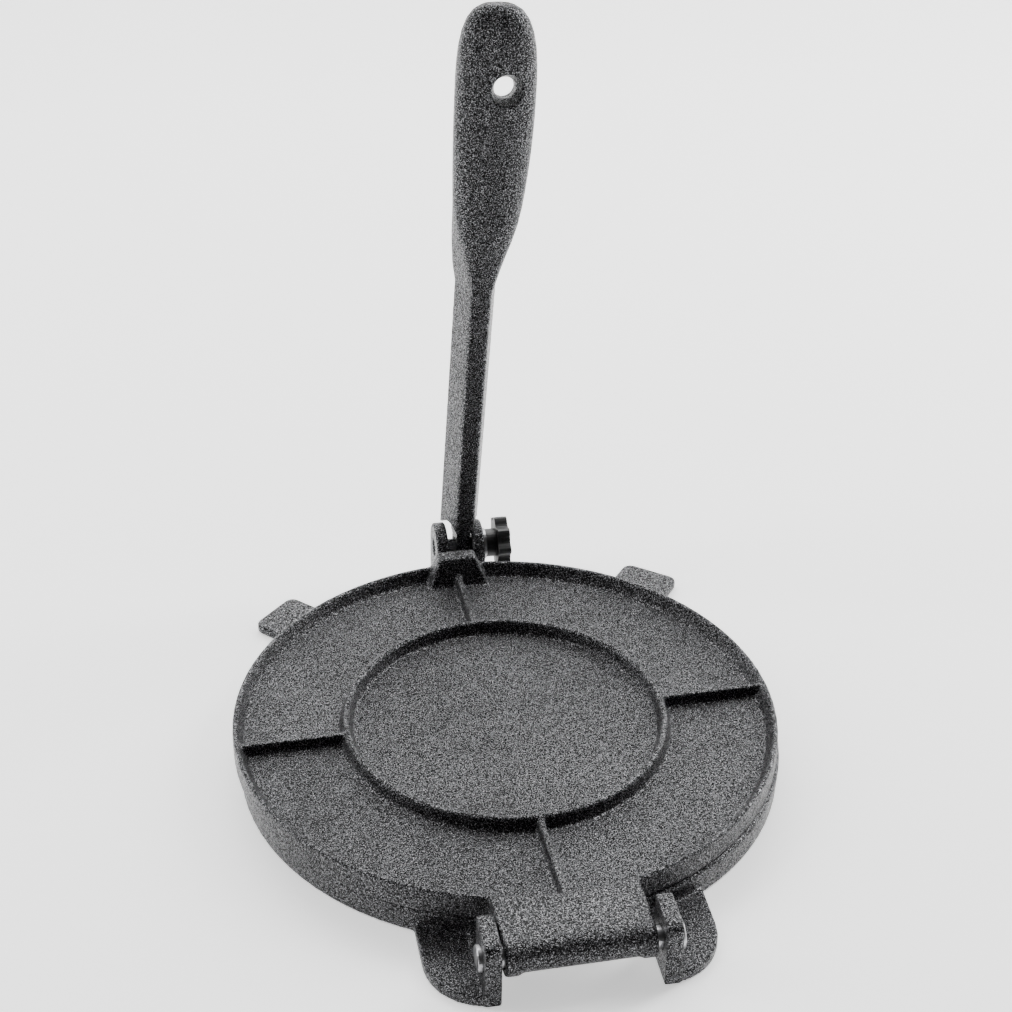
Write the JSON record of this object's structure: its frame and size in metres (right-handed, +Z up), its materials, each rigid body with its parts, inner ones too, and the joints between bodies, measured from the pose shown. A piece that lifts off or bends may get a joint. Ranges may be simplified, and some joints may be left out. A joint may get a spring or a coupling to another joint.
{
  "type": "dough press",
  "caption": "Hinged cast-iron dough press with a round lid, a long lever handle and a clamp knob.",
  "frame": {"origin": "middle of the footprint, on the surface that the press stands on", "axes": "+X to the right, +Y from the lid's hinge at the front to the handle at the back, +Z up"},
  "size_m": [0.2563, 0.3227, 0.3173],
  "materials": {
    "hammertone_iron": "dark grey hammertone enamel, glossy",
    "bright_steel": "bright turned steel",
    "black_plastic": "matte moulded black"
  },
  "bodies": {
    "base": {"base_casting": "hammertone_iron", "hinge_pin_left": "bright_steel", "hinge_pin_right": "bright_steel", "clamp_washer": "bright_steel"},
    "lid": {"lid_casting": "hammertone_iron"},
    "handle": {"handle_casting": "hammertone_iron"},
    "knob": {"star_knob": "black_plastic", "clamp_screw": "bright_steel"}
  },
  "joints": [
    {"name": "lid_hinge", "type": "hinge", "parent": "base", "child": "lid", "pos_m": [0.00163, -0.1515, 0.019], "axis": [1, 0, 0], "range_deg": [0, 175]},
    {"name": "handle_pivot", "type": "hinge", "parent": "base", "child": "handle", "pos_m": [0.00143, 0.1475, 0.023], "axis": [1, 0, 0], "range_deg": [-50, 38]},
    {"name": "knob_turn", "type": "hinge", "parent": "base", "child": "knob", "pos_m": [0.00143, 0.1475, 0.023], "axis": [1, 0, 0], "range_deg": [0, 360]}
  ]
}
